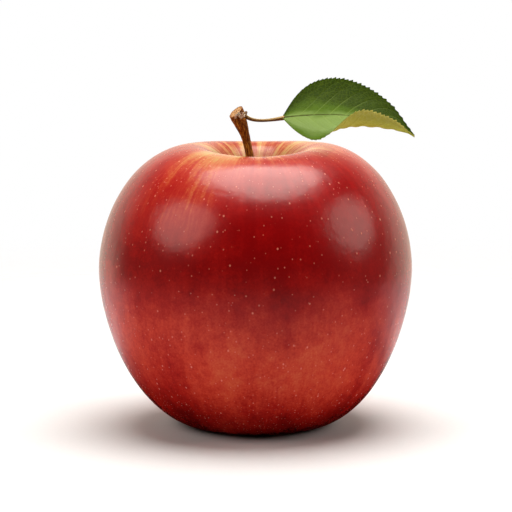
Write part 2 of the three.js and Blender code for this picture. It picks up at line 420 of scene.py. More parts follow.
# How strongly the streaks break it up on the same way.
STREAKS_ALONG = [
    (0.00, 0.30), (0.30, 0.12), (0.58, 0.12), (0.70, 0.34), (0.82, 0.70), (0.90, 1.00), (1.00, 0.80),
]
print(len(BLUSH_COLOURS), "blush colours")


# %% Material helpers
def new_material(name):
    """An empty material and its tree."""
    material = bpy.data.materials.new(name)
    material.use_nodes = True
    material.node_tree.nodes.clear()
    return material, Tree(material.node_tree)


def finish_material(tree, shader):
    """Wires a shader to the material's output."""
    tree.node("ShaderNodeOutputMaterial", None, {"Surface": shader})


def coated(tree, colour, roughness, normal, specular=0.5):
    """The main shader: a colour, how dull it is, its relief and how much it mirrors."""
    return tree.node("ShaderNodeBsdfPrincipled", None, {
        "Base Color": colour,
        "Roughness": roughness,
        "Normal": normal,
        "Specular IOR Level": specular,
    })


def bump(tree, height, depth, normal=None):
    """A surface that is raised by `depth` metres where the height is 1."""
    values = {"Height": height, "Distance": depth, "Strength": 1.0}
    if normal is not None:
        values["Normal"] = normal
    return tree.node("ShaderNodeBump", None, values)


def attribute(tree, name, output="Fac"):
    """A value that a piece carries on its mesh."""
    return tree.node("ShaderNodeAttribute", {"attribute_name": name}).output(output)


print("materials can be built")


# %% Skin patterns
def meridian_space(tree):
    """The place, and the same as a point on a unit circle round the axis and a share of the outline."""
    place = tree.node("ShaderNodeTexCoord").output("Object")
    x, y, _ = tree.parts(place)
    reach = (x * x + y * y).math("SQRT") + 1e-5
    return place, (x / reach, y / reach, attribute(tree, "along"))


def streaks(tree, here, fineness, length, detail):
    """Noise drawn out along the meridians, centred on zero."""
    across, over, along = here
    spot = tree.join(across * fineness, over * fineness, along * length)
    return tree.noise(spot, 1.0, detail) - 0.5


def pores(tree, here, cells, radius, seed):
    """Small round dots, scattered, each from 1 in its middle to 0 at its rim."""
    across, over, along = here
    spot = tree.join(across * cells, over * cells, along * (cells * 3.2) + seed)
    cell = tree.node("ShaderNodeTexVoronoi", {"feature": "F1"}, {"Vector": spot, "Scale": 1.0})
    boldness = tree.parts(cell.output("Color"))[0].ease(-0.2, 0.8)
    return (1 - cell.output("Distance").ease(radius * 0.25, radius)) * boldness


def patch(here, compass, spread, low, high):
    """A long soft patch on one side of the fruit, between two shares of the way to the stalk."""
    across, over, along = here
    facing = across * math.cos(math.radians(compass)) + over * math.sin(math.radians(compass))
    side = facing.ease(math.cos(math.radians(spread)), 1.0)
    return side * along.ease(low - 0.05, low + 0.04) * (1 - along.ease(high - 0.04, high + 0.05))


print("skin patterns are ready")


# %% Skin material
def skin_noises(tree, place, here):
    """Streaks that run to the stalk, and clouds and specks that don't, all centred on zero."""
    broad = streaks(tree, here, 2.2, 3.0, 2.0)
    middle = streaks(tree, here, 8.0, 5.0, 4.0)
    fine = streaks(tree, here, 30.0, 12.0, 4.0)
    clouds = tree.noise(place, 110.0, 4.0) - 0.5
    mottle = tree.noise(place, 480.0, 3.0) - 0.5
    speckle = tree.noise(place, 1900.0, 3.0) - 0.5
    return broad, middle, fine, clouds, mottle, speckle


def blush_amount(tree, here, noises):
    """How much red there is at each place, from 0 for bare ground to 1 for the deepest red."""
    along = here[2]
    broad, middle, fine, clouds, mottle, speckle = noises
    strength = tree.levels(along, STREAKS_ALONG)
    # Near the base this deepens the red as painted shade.
    blush = tree.levels(along, BLUSH_AND_BASE_SHADE_ALONG)
    blush = blush + strength * (broad * 0.6 + middle * 0.9 + fine * 0.8)
    blush = blush + broad * 0.28 + middle * 0.14 + clouds * 0.30 + mottle * 0.24 + speckle * 0.32
    streak_patch = patch(here, -128, 28, 0.64, 0.86)
    pale_shoulder = patch(here, 35, 80, 0.74, 0.86)
    warm_patch = patch(here, -80, 44, 0.24, 0.42)
    pale_lines = (middle + fine).ease(-0.14, 0.18)
    blush = blush - streak_patch * (0.24 + pale_lines * 0.34)
    blush = blush - warm_patch * (0.04 + pale_lines * 0.08)
    return blush - pale_shoulder * (0.12 + pale_lines * 0.16)


def blush_colour(tree, blush, here, noises, dull_and_shaded_hollow):
    """The skin's colour: one ramp for the upper part, one for the lower part, painted lighter as painted
    bounce light from the floor, and one for the hollow, with painted shade laid in it.
    """
    across, _, along = here
    broad, middle, _, clouds, mottle, _ = noises
    wander = clouds * 0.07 + broad * 0.10 + middle * 0.10 + mottle * 0.04 + across * 0.04
    # The lower half is painted lighter and warmer here, as painted bounce light from the floor.
    painted_bounce_mask = (along + wander).ease(0.66, 0.40)
    hollow = along.ease(0.76, 0.88)
    colour = tree.blend(painted_bounce_mask, tree.ramp(blush, BLUSH_COLOURS), tree.ramp(blush, PAINTED_BOUNCE_BLUSH_COLOURS))
    colour = tree.blend(hollow, colour, tree.ramp(blush, HOLLOW_BLUSH_COLOURS))
    # Painted shade darkens the hollow round the stalk.
    return tree.blend(dull_and_shaded_hollow * 0.42, colour, HOLLOW_PAINTED_SHADE_COLOUR)


def pore_dots(tree, here):
    """Pores of three sizes. The smallest lie low on the fruit, and the hollow has none."""
    along = here[2]
    large = pores(tree, here, 14.0, 0.12, 0.0)
    small = pores(tree, here, 26.0, 0.17, 7.0)
    tiny = pores(tree, here, 44.0, 0.22, 13.0) * along.ease(0.42, 0.26)
    outside = along.ease(0.1, 0.2) * (1 - along.ease(0.86, 0.92))
    return (large + small * 0.6 + tiny * 0.6).math("MINIMUM", 1.0) * outside


def skin_material():
    material, tree = new_material("apple_skin")
    place, here = meridian_space(tree)
    noises = skin_noises(tree, place, here)
    mottle = noises[4]
    # The hollow round the stalk: its skin is dull there, and painted shade darkens its colour.
    dull_and_shaded_hollow = here[2].ease(0.87, 0.93)
    blush = blush_amount(tree, here, noises)
    dots = pore_dots(tree, here)
    colour = blush_colour(tree, blush, here, noises, dull_and_shaded_hollow)
    colour = tree.blend(dots * 0.64, colour, PORE_COLOUR)
    relief = bump(tree, tree.noise(place, 320.0, 4.0), SKIN_RELIEF)
    relief = bump(tree, dots, PORE_RELIEF, relief)
    polished = coated(tree, colour, 0.24 + dots * 0.2 + mottle * 0.06, relief, 0.36)
    dull = coated(tree, colour, 0.6, relief, 0.1)
    finish_material(tree, tree.node("ShaderNodeMixShader", None, {0: dull_and_shaded_hollow, 1: polished, 2: dull}))
    return material


skin = skin_material()
print("skin material:", len(skin.node_tree.nodes), "nodes")

# %% [markdown]
# ## The fruit
#
# The fruit is nearly a turned shape, so its outline is a rule: a funnel for the basin, a flat ring
# that it rests on, two quarter ovals for the sides and another funnel for the stalk's hollow. Each
# stretch adds its own rise and reach as a share goes from 0 to 1, so that they join by themselves.
# Geometry Nodes bends a sheet to this rule, which keeps every size as an input that can be changed,
# and then adds what growth does: five soft ribs, a wavy crest and a slightly bowed axis.

# %% Fruit sizes
half_width = fruit_width / 2
FRUIT_SIZES = {
    "Around": 288,
    "Along": 224,
    "Radius": half_width,
    "Crest Height": 0.9913 * fruit_height,
    "Waist Height": 0.5576 * fruit_height,
    "Crest Radius": 0.4122 * half_width,
    "Ring Outer Radius": 0.3829 * half_width,
    "Ring Inner Radius": 0.3073 * half_width,
    "Mouth Radius": 0.039 * half_width,
    "Basin Depth": 0.2098 * half_width,
    "Calyx Tube": 0.07 * half_width,
    "Cavity Depth": 0.2927 * half_width,
    "Crest Wave": 0.0137 * half_width,
    "Crest Lean": 0.0063 * half_width,
    "Crest Ribs": 0.010,
    "Base Ribs": 0.006,
    "Axis Bow": 0.0098 * half_width,
    "Dents": 0.00015,
}
UPPER_FULLNESS = 1.93
LOWER_FULLNESS = 1.78
CAVITY_SHARPNESS = 0.75
BASIN_SHARPNESS = 0.85
RIB_COUNT = 5
RIB_TURN = 0.3 * math.pi
LEAN_DIRECTION = 0.42 * math.pi
# The stretches of the outline, from the calyx up to the stalk, as shares of its whole length.
STRETCHES = {"tube": 0.03, "basin": 0.11, "ring": 0.02, "lower": 0.39, "upper": 0.30, "cavity": 0.15}
print("outline stretches add up to", round(sum(STRETCHES.values()), 6))


# %% Fruit outline
def stretch_shares(along):
    """How far along each stretch a point is, held at 0 before it and at 1 after it."""
    shares = {}
    start = 0.0
    for name, length in STRETCHES.items():
        shares[name] = along.between(start, start + length)
        start += length
    return shares


def funnel(share, sharpness):
    """1 in a funnel's middle and 0 at its rim."""
    return ((share ** sharpness * math.pi).math("COSINE") + 1) / 2


def fruit_outline(along, size):
    """The turned fruit's reach from the axis and its height."""
    share = stretch_shares(along)
    mouth, inner, outer = size["Mouth Radius"], size["Ring Inner Radius"], size["Ring Outer Radius"]
    tube_turn = share["tube"] * (math.pi / 2)
    low_turn = (1 - share["lower"]) * (math.pi / 2)
    high_turn = share["upper"] * (math.pi / 2)
    low_power, high_power = 2 / LOWER_FULLNESS, 2 / UPPER_FULLNESS
    reach = mouth * tube_turn.math("SINE")
    reach = reach + (inner - mouth) * share["basin"] + (outer - inner) * share["ring"]
    reach = reach + (size["Radius"] - outer) * low_turn.math("COSINE") ** low_power
    overhang = size["Radius"] - size["Crest Radius"]
    reach = reach - overhang * (1 - high_turn.math("COSINE") ** high_power)
    reach = reach - size["Crest Radius"] * share["cavity"]
    height = size["Calyx Tube"] * tube_turn.math("COSINE")
    height = height + size["Basin Depth"] * funnel(share["basin"], BASIN_SHARPNESS)
    height = height + size["Waist Height"] * (1 - low_turn.math("SINE") ** low_power)
    rise = size["Crest Height"] - size["Waist Height"]
    height = height + rise * high_turn.math("SINE") ** high_power
    height = height - size["Cavity Depth"] * funnel(1 - share["cavity"], CAVITY_SHARPNESS)
    return reach.math("MAXIMUM", 0.0), height


def grown_place(tree, reach, height, turn, size):
    """The fruit's point after ribs, crest wave and bow."""
    away = reach.ease(size["Mouth Radius"], size["Ring Inner Radius"])
    at_crest = height.ease(0.6 * fruit_height, 0.95 * fruit_height)
    at_base = 1 - height.ease(0.0, 0.4 * fruit_height)
    ribs = ((turn - RIB_TURN) * RIB_COUNT).math("COSINE")
    rib_depth = size["Base Ribs"] * at_base + size["Crest Ribs"] * at_crest
    grown = reach * (1 + away * rib_depth * ribs)
    from_middle = height / (size["Crest Height"] / 2) - 1
    wave = size["Crest Wave"] * (turn * 2).math("COSINE")
    lean = size["Crest Lean"] * (turn - LEAN_DIRECTION).math("COSINE")
    x = grown * turn.math("COSINE") + away * size["Axis Bow"] * from_middle * from_middle
    y = grown * turn.math("SINE")
    return tree.join(x, y, height + away * at_crest * (wave + lean))


print("the outline has", len(STRETCHES), "stretches")


# %% Fruit
def fruit_tree():
    tree, size = geometry_tree("fruit_growth", FRUIT_SIZES)
    sheet, around, along = unit_grid(tree, size["Around"], size["Along"])
    map_place = tree.join(around, along, 0.0)
    sheet = named(tree, sheet, "OFBake", "FLOAT2", map_place, "CORNER")
    sheet = named(tree, sheet, "along", "FLOAT", along)
    turn = around * math.tau + math.pi / 2
    reach, height = fruit_outline(along, size)
    place = grown_place(tree, reach, height, turn, size)
    closed = weld(tree, moved(tree, sheet, place))
    here = tree.node("GeometryNodeInputPosition")
    above_floor = tree.parts(here)[2].ease(0.0, 0.15 * fruit_height)
    dents = (tree.noise(here, 55.0, 2.0) - 0.5) * size["Dents"] * 2 * above_floor
    push = tree.scaled(tree.node("GeometryNodeInputNormal"), dents)
    dented = tree.node("GeometryNodeSetPosition", None, {"Geometry": closed, "Offset": push})
    close_tree(tree, dented, skin)
    return tree


fruit = grow("apple_fruit", fruit_tree(), FRUIT_SIZES)
stand_for(fruit, "skin", "fruit")

# %% [markdown]
# ## A skin wrapped round a route
#
# The stalk, the leaf's own stalk, the dry scales and the sepals are all the same kind of thing: a
# closed skin wrapped round a short curved route, wider or flatter from place to place. One tree
# part makes them all from a Bezier curve and a rule for the width. Its last rows close on the
# route, so that both ends are shut.


# %% Wrapping a route
def bezier(tree, size):
    """The route: a Bezier curve between a foot and a head, each with its handle."""
    return tree.node("GeometryNodeCurvePrimitiveBezierSegment", {"mode": "POSITION"}, {
        "Resolution": 48,
        "Start": size["Foot"],
        "Start Handle": size["Foot Handle"],
        "End Handle": size["Head Handle"],
        "End": size["Head"],
    })


def route_sizes(around, along, points, face=(0.0, -1.0, 0.0)):
    """The sizes that every wrapped route has: its mesh's steps, its four Bezier points and its face."""
    labels = ("Foot", "Foot Handle", "Head Handle", "Head")
    bezier_points = {label: Vector(point) for label, point in zip(labels, points)}
    return {"Around": around, "Along": along, **bezier_points, "Face": Vector(face)}


def wrap_route(tree, size, width_rule, cap_shares=(0.05, 0.05), cut_normal=None):
    """Bends a sheet round the route. width_rule gives the reach across and over the route."""
    sheet, around, along = unit_grid(tree, size["Around"], size["Along"])
    foot_cap, head_cap = cap_shares
    share = along.between(foot_cap, 1 - head_cap)
    to_foot = along.between(0.0, foot_cap)
    to_head = along.between(1.0, 1 - head_cap)
    turn = around * math.tau
    sample = tree.node("GeometryNodeSampleCurve", {"mode": "FACTOR"}, {
        "Curves": bezier(tree, size),
        "Factor": share,
    })
    tangent = sample.output("Tangent")
    across = tree.vector("NORMALIZE", tree.vector("CROSS_PRODUCT", tangent, size["Face"]))
    over = tree.vector("CROSS_PRODUCT", tangent, across)
    reach_across, reach_over = width_rule(tree, size, share, turn)
    shut = to_foot * to_head
    offset = tree.vector(
        "ADD",
        tree.scaled(across, turn.math("COSINE") * reach_across * shut),
        tree.scaled(over, turn.math("SINE") * reach_over * shut),
    )
    if cut_normal is not None:
        slant = tree.vector("NORMALIZE", tree.node(
            "ShaderNodeMix", {"data_type": "VECTOR"},
            {"Factor": share.ease(0.7, 1.0), "A": tangent, "B": cut_normal},
        ))
        slide = tree.dot(offset, slant) / tree.dot(tangent, slant)
        offset = tree.vector("SUBTRACT", offset, tree.scaled(tangent, slide))
    grain = tree.join(turn.math("COSINE"), turn.math("SINE"), share)
    sheet = named(tree, sheet, "grain", "FLOAT_VECTOR", grain)
    sheet = named(tree, sheet, "share", "FLOAT", share)
    sheet = named(tree, sheet, "end", "FLOAT", 1 - to_head)
    place = tree.vector("ADD", sample.output("Position"), offset)
    return weld(tree, moved(tree, sheet, place))


def grow_wrapped(name, sizes, width_rule, material, cap_shares=(0.05, 0.05)):
    """Grows one piece that is a single wrapped route."""
    tree, size = geometry_tree(name + "_growth", sizes)
    skin_of_route = wrap_route(tree, size, width_rule, cap_shares, size.get("Cut Normal"))
    close_tree(tree, skin_of_route, material)
    return grow(name, tree, sizes)


print("a route can be wrapped")

# %% [markdown]
# ## The stalk
#
# The stalk is brown wood with long fibres. It leans away from the leaf, thickens towards its head,
# and ends in a slanting cut with a paler face. The bark's ridges are real relief, drawn out along
# the route, and the colour is painted dark in the furrows between them as painted shade, and pale
# tan on the ridges, partly a painted highlight.


# %% Bark material
def bark_material():
    material, tree = new_material("stalk_bark")
    share = attribute(tree, "share")
    cut = attribute(tree, "end")
    g_across, g_over, g_along = tree.parts(attribute(tree, "grain", "Vector"))
    fibre_space = tree.join(g_across * 2.4, g_over * 2.4, g_along * 7.0)
    fibres = tree.noise(fibre_space, 2.2, 4.0, 0.6)
    patches = tree.noise(tree.join(g_across, g_over, g_along * 9.0), 1.6, 3.0)
    # The bark's own browns, with painted light: the darkest brown falls in the furrows as painted shade,
    # and the pale tan on the ridges is partly a painted highlight.
    bark = tree.ramp(fibres, [
        (0.32, srgb(62, 28, 2)),
        (0.45, srgb(112, 56, 4)),
        (0.54, srgb(150, 88, 12)),
        (0.66, srgb(204, 146, 52)),
    ])
    bark = tree.blend(patches.ease(0.5, 0.72) * 0.45, bark, srgb(70, 34, 8))
    bark = tree.blend(share.ease(0.16, 0.0) * 0.5, bark, srgb(120, 84, 36))
    ring = (cut * 26.0 + fibres * 3.0).math("SINE")
    wood = tree.blend(ring * 0.3 + 0.4, srgb(196, 152, 104), srgb(134, 92, 52))
    wood = tree.blend(fibres.ease(0.45, 0.65) * 0.6, wood, srgb(112, 72, 36))
    wood = tree.blend(cut.ease(0.86, 1.0) * 0.5, wood, srgb(110, 70, 36))
    colour = tree.blend(cut.ease(0.10, 0.22), bark, wood)
    fine = tree.noise(tree.node("ShaderNodeTexCoord").output("Object"), 5200.0, 3.0)
    relief = bump(tree, fibres, 0.00022)
    relief = bump(tree, fine, 0.00008, relief)
    finish_material(tree, coated(tree, colour, 0.62 + fine * 0.25, relief, 0.2))
    return material


bark = bark_material()
print("bark material:", len(bark.node_tree.nodes), "nodes")

# %% Stalk sizes
STALK_POINTS = (
    inside("stem", 0.79, 0.52, 0.0),
    inside("stem", 0.75, 0.52, 0.36),
    inside("stem", 0.58, 0.52, 0.70),
    inside("stem", 0.197, 0.52, 0.942),
)
STALK_SIZES = {
    **route_sizes(72, 150, STALK_POINTS),
    "Cut Normal": Vector((-0.6, -0.28, 0.75)).normalized(),
    "Radius": 0.0256 * half_width,
    "Head Flare": 0.0250 * half_width,
    "Foot Flare": 0.0060 * half_width,
    "Ridges": 0.11,
}
STALK_CAPS = (0.02, 0.14)


def stalk_width(tree, size, share, turn):
    """Thick at the head, a little thicker at the foot, with ridges and knots."""
    fibre_space = tree.join(turn.math("COSINE"), turn.math("SINE"), share * 3.0)
    ridge = tree.noise(fibre_space, 3.4, 3.0, 0.6) - 0.5
    knots = tree.noise(fibre_space, 1.3, 2.0) - 0.5
    head = size["Head Flare"] * share.ease(0.64, 1.02)
    foot = size["Foot Flare"] * (1 - share.ease(0.0, 0.3))
    radius = (size["Radius"] + head + foot) * (1 + (ridge + knots) * size["Ridges"] * 2)
    return radius, radius


stalk = grow_wrapped("apple_stalk", STALK_SIZES, stalk_width, bark, STALK_CAPS)
stand_for(stalk, "bark", "stem")

# %% [markdown]
# ## The leaf's own stalk
#
# A thin petiole leaves the stalk's head, dips and then runs level to the leaf. It is brown, and
# its upper side is painted paler as painted light from above.

# %% Petiole
PETIOLE_POINTS = (
    inside("leaf_petiole", -0.12, 0.70, 1.02),
    inside("leaf_petiole", 0.10, 0.62, -0.20),
    inside("leaf_petiole", 0.52, 0.48, -0.08),
    inside("leaf_petiole", 1.12, 0.32, 0.44),
)
PETIOLE_SIZES = {**route_sizes(28, 90, PETIOLE_POINTS), "Radius": 0.0112 * half_width}
PETIOLE_CAPS = (0.03, 0.03)


def petiole_material():
    material, tree = new_material("petiole_skin")
    g_across, g_over, g_along = tree.parts(attribute(tree, "grain", "Vector"))
    fibres = tree.noise(tree.join(g_across, g_over, g_along * 6.0), 3.0, 3.0)
    normal = tree.node("ShaderNodeNewGeometry").output("Normal")
    # Painted light: the petiole is painted paler where its surface faces up.
    upward = (tree.parts(normal)[2] + (fibres - 0.5) * 0.6).ease(0.0, 0.8)
    colour = tree.blend(upward, srgb(112, 78, 38), srgb(162, 134, 82))
    colour = tree.blend(fibres.ease(0.5, 0.7) * 0.4, colour, srgb(86, 62, 34))
    relief = bump(tree, fibres, 0.00006)
    finish_material(tree, coated(tree, colour, 0.48 + fibres * 0.15, relief, 0.2))
    return material


def petiole_width(tree, size, share, turn):
    """Slimmest in the middle, and a little three-sided."""
    waist = (share * math.pi).math("SINE")
    swelling = (turn * 3 + share * 5).math("COSINE") * 0.05
    radius = size["Radius"] * (1.3 - waist * 0.45) * (1 + swelling)
    return radius, radius * 0.92


petiole = grow_wrapped("leaf_stalk", PETIOLE_SIZES, petiole_width, petiole_material(), PETIOLE_CAPS)
stand_for(petiole, "petiole", "leaf_petiole")

# %% [markdown]
# ## The leaf
#
# The blade hangs on a midrib. Its far half rises, and its near half droops at first and then rolls
# up towards the tip, so that it shows its pale underside. A sheet with a rule for the width and the
# slope gives that, and mesh code does it best, because the slope has to be added up step by step
# from the midrib outwards. The side veins leave the midrib at a slant and arch towards the tip.

# %% Leaf sizes
LEAF_STATIONS = 264
LEAF_STEPS = 58
leaf_low, leaf_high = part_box("leaf_blade")
LEAF_ROUTE = (
    inside("leaf_blade", 0.00, 0.569, 0.348),
    inside("leaf_blade", 0.30, 0.55, 0.452),
    inside("leaf_blade", 0.78, 0.51, 0.458),
    inside("leaf_blade", 1.00, 0.494, 0.031),
)
leaf_length = leaf_high.x - leaf_low.x
BLADE_HALF_WIDTH = 0.4186 * leaf_length
BLADE_THICKNESS = 0.0105 * leaf_length
EDGE_THINNING = 0.75
FAR_RISE = math.radians(18)
FAR_CUPPING = math.radians(38)
NEAR_DROOP = math.radians(26)
EDGE_ROLL = math.radians(135)
ROLL_START, ROLL_END = 0.19, 0.65
# The blade's oval: below 1 the lean puts its widest place nearer the stalk.
OVAL_LEAN = 0.75
OVAL_FULLNESS = 0.8
NECK_PINCH = 0.7
NECK_LENGTH = 0.06
TIP_START = 0.82
LEAST_HALF_WIDTH = 0.00035
TEETH = 32
TOOTH_HEIGHT = 0.016 * leaf_length
TOOTH_CREST = 0.78
TOOTH_LEAN = 0.55
SMALL_TOOTH = 0.7
VEIN_PAIRS = 8.6
VEIN_SLANT = 0.17
VEIN_ARCH = 0.15
VEIN_LEAN = 0.8
NEAR_VEIN_SHIFT = 0.45
VEIN_HALF_WIDTH = 0.0052 * leaf_length
VEIN_DEPTH = 0.0022 * leaf_length
VEIN_RISE = 1.6 * VEIN_DEPTH
QUILTING = 0.002 * leaf_length
RIB_HALF_WIDTH = 0.011 * leaf_length
RIB_DEPTH = 0.012 * leaf_length
RIB_GROOVE = 0.35 * RIB_DEPTH
print("leaf blade, mm:", round(leaf_length * 1000, 1), "long")


# %% Leaf outline
def eased(value, low, high):
    """0 at low, 1 at high, with a soft start and a soft end."""
    share = np.clip((value - low) / (high - low), 0, 1)
    return share * share * (3 - 2 * share)


def midrib_points(shares):
    """Points on the midrib's Bezier curve at these shares of its length."""
    fine = np.linspace(0, 1, 400)[:, None]
    start, start_handle, end_handle, end = (np.array(point) for point in LEAF_ROUTE)
    curve = (
        start * (1 - fine) ** 3
        + start_handle * 3 * fine * (1 - fine) ** 2
        + end_handle * 3 * fine ** 2 * (1 - fine)
        + end * fine ** 3
    )
    steps = np.linalg.norm(np.diff(curve, axis=0), axis=1)
    travelled = np.concatenate([[0], np.cumsum(steps)]) / steps.sum()
    return np.stack([np.interp(shares, travelled, curve[:, axis]) for axis in range(3)], axis=1)


def tooth_shape(shares):
    """1 at a tooth's tip, which leans forwards, and 0 in the notches. Large and small teeth alternate."""
    cycle = shares * TEETH
    within = cycle - np.floor(cycle)
    rise = np.clip(within / TOOTH_CREST, 0, 1) ** 1.3
    fall = np.clip((1 - within) / (1 - TOOTH_CREST), 0, 1)
    size = np.where(np.floor(cycle) % 2 == 0, 1, SMALL_TOOTH)
    return np.minimum(rise, fall) * size * np.sqrt(np.sin(np.pi * np.clip(shares, 0, 1)))


def blade_width(shares):
    """Half the blade's width along the midrib: an oval, pinched at the neck and drawn out at the tip."""
    oval = np.sin(np.pi * np.minimum(shares, 0.999) ** OVAL_LEAN) ** OVAL_FULLNESS
    neck = 1 - NECK_PINCH * np.exp(-shares / NECK_LENGTH)
    tip = 1 - 0.5 * eased(shares, TIP_START, 1)
    return np.maximum(LEAST_HALF_WIDTH, BLADE_HALF_WIDTH * oval * neck * tip)


print("the leaf has", TEETH, "teeth on each side")


# %% Leaf halves
def blade_slope(reach, roll, is_far):
    """The section's slope at this reach from the midrib: the far half cups, the near half rolls."""
    if is_far:
        return FAR_RISE + FAR_CUPPING * reach
    return roll * reach ** 2 - NEAR_DROOP


def vein_pattern(shares, reach, width, is_far):
    """The side veins, the midrib and the puffed-up cells between the veins, at one reach."""
    start_share = shares - VEIN_SLANT * reach - VEIN_ARCH * reach ** 2
    phase = start_share * VEIN_PAIRS + (0.0 if is_far else NEAR_VEIN_SHIFT)
    from_vein = np.abs(phase - np.round(phase)) / VEIN_PAIRS * leaf_length * VEIN_LEAN
    near_root = eased(start_share, 0.02, 0.1) * (1 - eased(start_share, 0.84, 0.95))
    fading = near_root * (1 - 0.75 * reach ** 2) * (1 - eased(np.array(reach), 0.9, 1.0))
    side_vein = np.exp(-(from_vein / VEIN_HALF_WIDTH) ** 2) * fading
    rib = np.exp(-(reach * width / RIB_HALF_WIDTH) ** 2) * (1 - 0.7 * shares)
    puff = np.cos(2 * np.pi * phase) * -0.5 * near_root * math.sin(math.pi * reach ** 0.8)
    return side_vein, rib, puff


def blade_half(shares, is_far):
    """One half of the blade, from the midrib to the edge: places, upward normals and the vein pattern."""
    width = blade_width(shares)
    roll = EDGE_ROLL * eased(shares, ROLL_START, ROLL_END) * (1 - 0.5 * eased(shares, 0.85, 1))
    outwards = 1 if is_far else -1
    place = midrib_points(shares)
    places, normals, patterns = [], [], []
    for step in range(LEAF_STEPS + 1):
        reach = step / LEAF_STEPS
        slope_here = blade_slope(reach, roll, is_far)
        if step > 0:
            slope = blade_slope((step - 0.5) / LEAF_STEPS, roll, is_far)
            stride = width / LEAF_STEPS
            place = place.copy()
            place[:, 1] += outwards * np.cos(slope) * stride
            place[:, 2] += np.sin(slope) * stride
        normal = np.zeros_like(place)
        normal[:, 1] = -outwards * np.sin(slope_here)
        normal[:, 2] = np.cos(slope_here)
        teeth = tooth_shape(shares) * TOOTH_HEIGHT * eased(np.array(reach), 0.86, 1.0)
        spread = place.copy()
        spread[:, 0] += teeth * TOOTH_LEAN
        spread[:, 1] += outwards * np.cos(slope_here) * teeth
        spread[:, 2] += np.sin(slope_here) * teeth
        places.append(spread)
        normals.append(normal)
        patterns.append(np.stack(vein_pattern(shares, reach, width, is_far), axis=1))
    return np.array(places), np.array(normals), np.array(patterns)


print("each half has", LEAF_STATIONS, "by", LEAF_STEPS + 1, "points")


# %% Leaf mesh
def blade_border(rows, columns):
    """The sheet's rim as one ring of rows and columns."""
    border = [(0, column) for column in range(columns)]
    border += [(row, columns - 1) for row in range(1, rows)]
    border += [(rows - 1, column) for column in range(columns - 2, -1, -1)]
    return border + [(row, 0) for row in range(rows - 2, 0, -1)]


def blade_faces(rows, columns):
    """Each face's corners and their places on the bake map: two sheets, and the rim between them."""
    below = rows * columns
    faces, maps = [], []

    def corner(spot, sheet=0):
        return spot[0] * columns + spot[1] + sheet

    def map_place(spot, half):
        return spot[1] / (columns - 1), (spot[0] / (rows - 1) * 0.98 + 0.01 + half) / 2

    for row in range(rows - 1):
        for column in range(columns - 1):
            ring = [(row, column), (row, column + 1), (row + 1, column + 1), (row + 1, column)]
            faces.append([corner(spot) for spot in ring])
            maps.append([map_place(spot, 0) for spot in ring])
            ring.reverse()
            faces.append([corner(spot, below) for spot in ring])
            maps.append([map_place(spot, 1) for spot in ring])
    border = blade_border(rows, columns)
    for here, there in zip(border, border[1:] + border[:1]):
        faces.append([corner(there), corner(here), corner(here, below), corner(there, below)])
        maps.append([map_place(spot, 0) for spot in (there, here, here, there)])
    return faces, maps


def leaf_mesh():
    """Both halves and both faces of the blade as one closed mesh."""
    shares = np.linspace(0, 1, LEAF_STATIONS)
    far, near = blade_half(shares, True), blade_half(shares, False)
    places, normals, patterns = (
        np.concatenate([near_part[::-1], far_part[1:]]) for far_part, near_part in zip(far, near)
    )
    rows, columns = places.shape[:2]
    reach = np.linspace(-1, 1, rows)[:, None]
    side_vein, rib, puffs = (patterns[..., layer] for layer in range(3))
    groove = QUILTING * puffs - VEIN_DEPTH * side_vein - RIB_GROOVE * rib
    blade = BLADE_THICKNESS * (1 - EDGE_THINNING * np.abs(reach) ** 3)
    thickness = blade + VEIN_RISE * side_vein + RIB_DEPTH * rib
    upper = places + normals * (groove + BLADE_THICKNESS / 2)[..., None]
    lower = places + normals * (groove + BLADE_THICKNESS / 2 - thickness)[..., None]
    faces, maps = blade_faces(rows, columns)
    mesh = bpy.data.meshes.new("leaf_blade_mesh")
    mesh.from_pydata(np.concatenate([upper.reshape(-1, 3), lower.reshape(-1, 3)]).tolist(), [], faces)
    mesh.polygons.foreach_set("use_smooth", [True] * len(faces))
    bake_map = mesh.uv_layers.new(name="OFBake")
    bake_map.data.foreach_set("uv", np.array([place for face in maps for place in face]).ravel())
    flat = np.zeros((rows, columns, 3))
    flat[..., 0] = shares[None, :] * leaf_length
    flat[..., 1] = reach * BLADE_HALF_WIDTH
    both = {
        "side_vein": np.tile(side_vein.ravel(), 2),
        "rib": np.tile(rib.ravel(), 2),
        "underside": np.repeat([0.0, 1.0], rows * columns),
    }
    for name, values in both.items():
        mesh.attributes.new(name, "FLOAT", "POINT").data.foreach_set("value", values)
    flat_places = np.tile(flat.reshape(-1, 3), (2, 1)).ravel()
    mesh.attributes.new("flat_place", "FLOAT_VECTOR", "POINT").data.foreach_set("vector", flat_places)
    mesh.update()
    return mesh


leaf = add_object("leaf", leaf_mesh())
print("leaf has", sum(len(face.vertices) - 2 for face in leaf.data.polygons), "triangles")

# %% [markdown]
# The leaf's upper face runs from a pale green near its stalk and on its near half, which is a
# painted sheen, to a deep green at its far edge and tip, with paler veins. Its underside is a dull
# olive. A net of small veins divides both faces into cells about a millimetre wide. Light also
# comes through a leaf, so about a fifth is let through.

# %% Leaf material
LEAF_GLOW_COLOUR = srgb(134, 146, 16)
LET_THROUGH = 0.18


